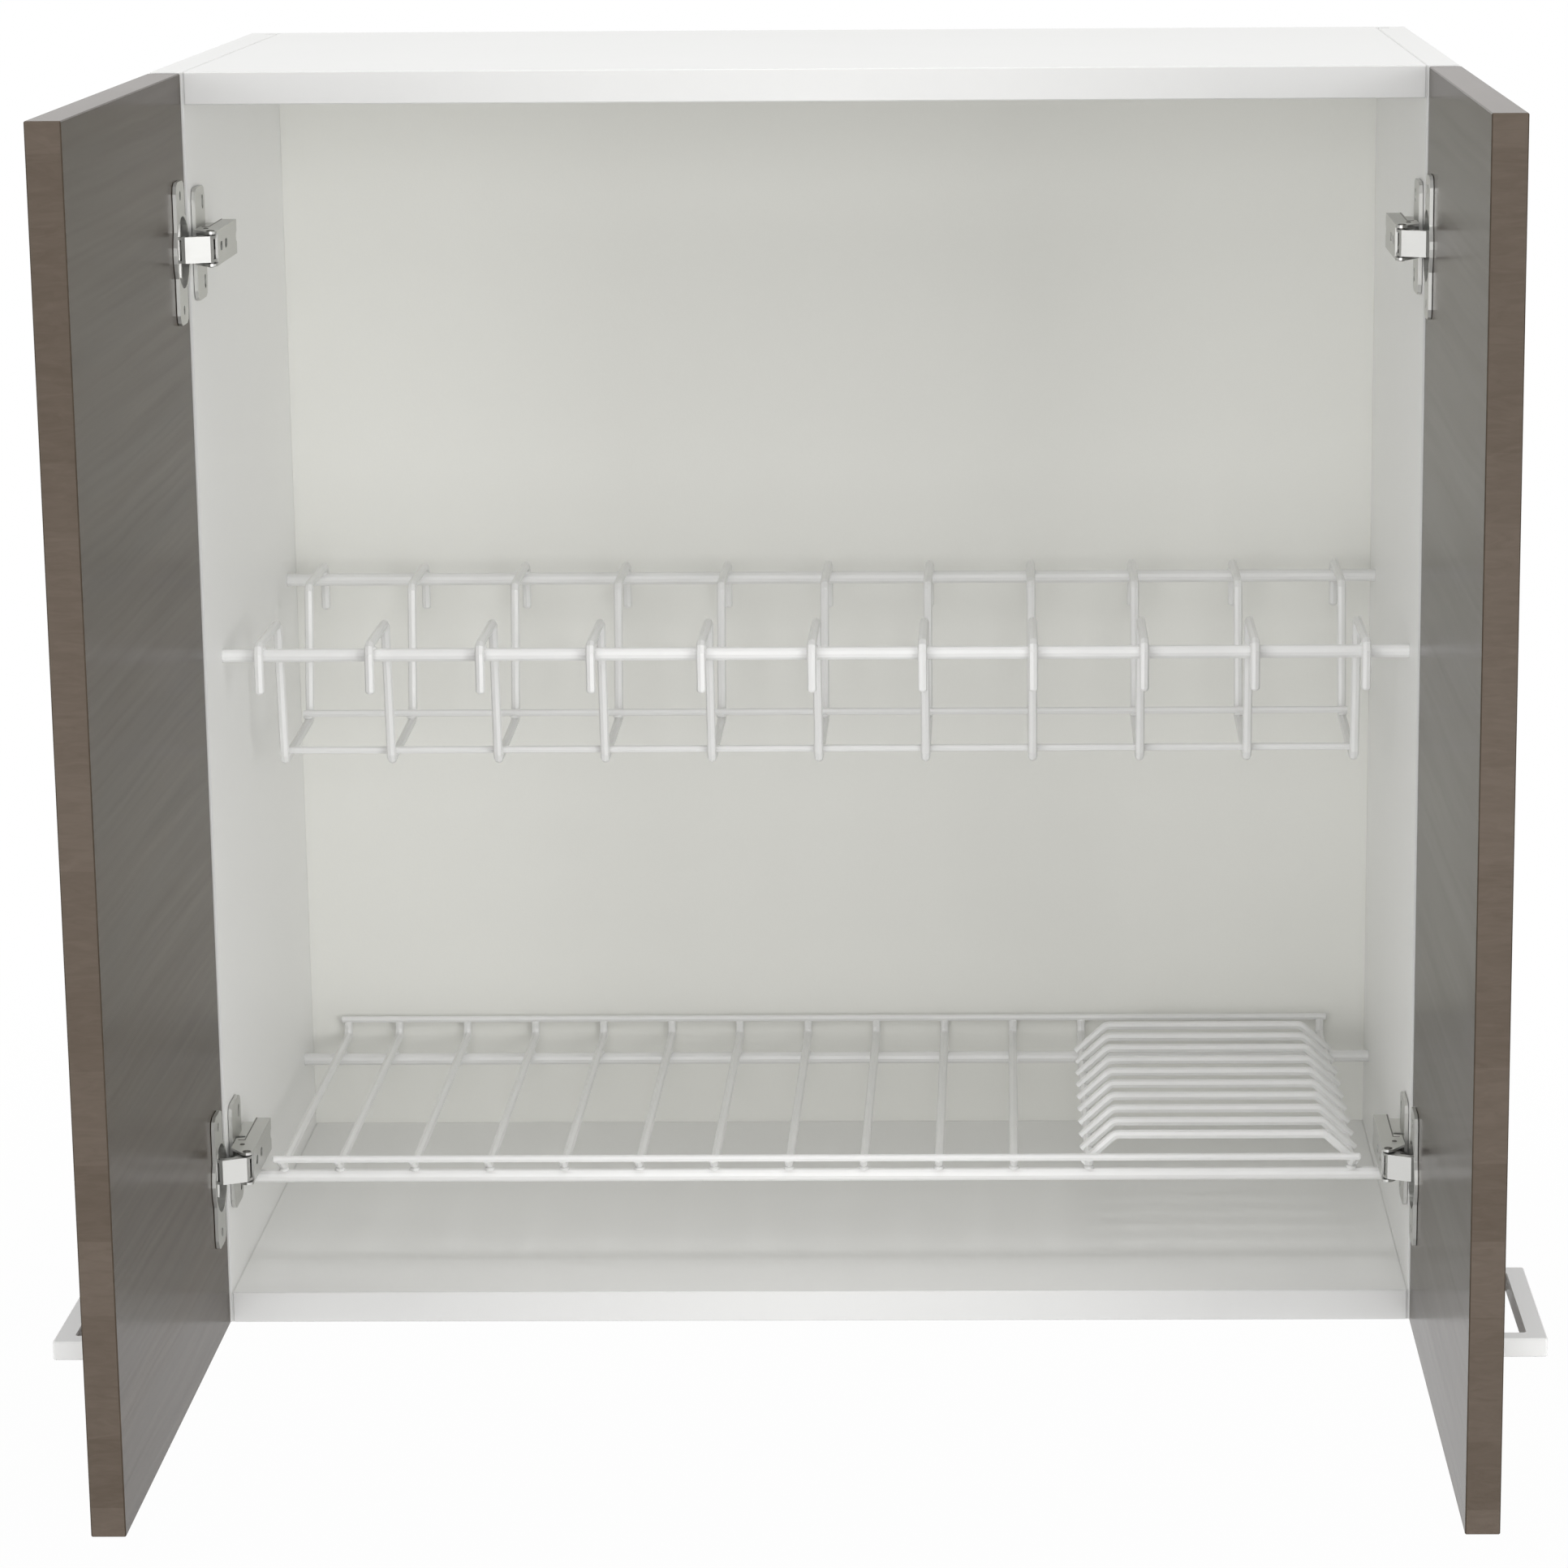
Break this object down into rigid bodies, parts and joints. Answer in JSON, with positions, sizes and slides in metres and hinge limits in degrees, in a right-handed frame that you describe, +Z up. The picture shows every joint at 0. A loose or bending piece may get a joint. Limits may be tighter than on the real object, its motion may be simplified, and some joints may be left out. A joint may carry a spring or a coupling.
{
  "type": "kitchen wall cabinet with dish rack",
  "caption": "Kitchen wall cabinet with doors on concealed hinges, bow handles, and wire racks inside for plates, cups and saucers.",
  "frame": {"origin": "on the wall plane, at the middle of the top panel's rear edge", "axes": "+X to the right seen from the front, +Y into the wall, +Z up"},
  "size_m": [0.6534, 0.6209, 0.6],
  "materials": {
    "white_board": "white melamine-faced board, satin",
    "back_sheet": "white lacquered hardboard, matt",
    "taupe_laminate": "taupe wood-grain laminate, semi-gloss",
    "nickel_steel": "nickel plated, bright",
    "coated_wire": "white plastic-coated wire, gloss",
    "handle_white": "white lacquer, gloss"
  },
  "bodies": {
    "carcass": {"side_panel_left": "white_board", "side_panel_right": "white_board", "top_panel": "white_board", "bottom_panel": "white_board", "back_panel": "back_sheet", "hanger_plate_left": "nickel_steel", "hanger_plate_right": "nickel_steel", "hinge_plate_left_upper": "nickel_steel", "hinge_plate_left_lower": "nickel_steel", "hinge_plate_right_upper": "nickel_steel", "hinge_plate_right_lower": "nickel_steel", "hinge_arm_left_upper": "nickel_steel", "hinge_arm_left_lower": "nickel_steel", "hinge_arm_right_upper": "nickel_steel", "hinge_arm_right_lower": "nickel_steel", "plate_rack_front_rail": "coated_wire", "plate_rack_back_rail": "coated_wire", "plate_rack_lower_front_wire": "coated_wire", "plate_rack_lower_back_wire": "coated_wire", "plate_rack_frame_01": "coated_wire", "plate_rack_frame_02": "coated_wire", "plate_rack_frame_03": "coated_wire", "plate_rack_frame_04": "coated_wire", "plate_rack_frame_05": "coated_wire", "plate_rack_frame_06": "coated_wire", "plate_rack_frame_07": "coated_wire", "plate_rack_frame_08": "coated_wire", "plate_rack_frame_09": "coated_wire", "plate_rack_frame_10": "coated_wire", "plate_rack_frame_11": "coated_wire", "cup_rack_front_rail": "coated_wire", "cup_rack_back_rail": "coated_wire", "cup_rack_front_lip_wire": "coated_wire", "cup_rack_back_lip_wire": "coated_wire", "cup_rack_wire_01": "coated_wire", "cup_rack_wire_02": "coated_wire", "cup_rack_wire_03": "coated_wire", "cup_rack_wire_04": "coated_wire", "cup_rack_wire_05": "coated_wire", "cup_rack_wire_06": "coated_wire", "cup_rack_wire_07": "coated_wire", "cup_rack_wire_08": "coated_wire", "cup_rack_wire_09": "coated_wire", "cup_rack_wire_10": "coated_wire", "cup_rack_wire_11": "coated_wire", "cup_rack_saucer_holder": "coated_wire"},
    "left_hinge_links": {"hinge_link_left_upper": "nickel_steel", "hinge_link_left_lower": "nickel_steel"},
    "left_door": {"door_left": "taupe_laminate", "handle_left": "handle_white", "hinge_cup_left_upper": "nickel_steel", "hinge_cup_left_lower": "nickel_steel"},
    "right_hinge_links": {"hinge_link_right_upper": "nickel_steel", "hinge_link_right_lower": "nickel_steel"},
    "right_door": {"door_right": "taupe_laminate", "handle_right": "handle_white", "hinge_cup_right_upper": "nickel_steel", "hinge_cup_right_lower": "nickel_steel"}
  },
  "joints": [
    {"name": "left_link_swing", "type": "hinge", "parent": "carcass", "child": "left_hinge_links", "pos_m": [-0.274, -0.3265, -0.2925], "axis": [0, 0, 1], "range_deg": [-31.5, 5.3]},
    {"name": "left_door_swing", "type": "hinge", "parent": "left_hinge_links", "child": "left_door", "pos_m": [-0.2877, -0.33288, -0.2925], "axis": [0, 0, 1], "range_deg": [-20.24, 121.44]},
    {"name": "right_link_swing", "type": "hinge", "parent": "carcass", "child": "right_hinge_links", "pos_m": [0.274, -0.3265, -0.2925], "axis": [0, 0, -1], "range_deg": [-31.5, 5.3]},
    {"name": "right_door_swing", "type": "hinge", "parent": "right_hinge_links", "child": "right_door", "pos_m": [0.2877, -0.33288, -0.2925], "axis": [0, 0, -1], "range_deg": [-20.24, 121.44]}
  ],
  "couplings": [
    {"joint": "left_link_swing", "follows": "left_door_swing", "ratio": -0.25888},
    {"joint": "right_link_swing", "follows": "right_door_swing", "ratio": -0.25888}
  ]
}
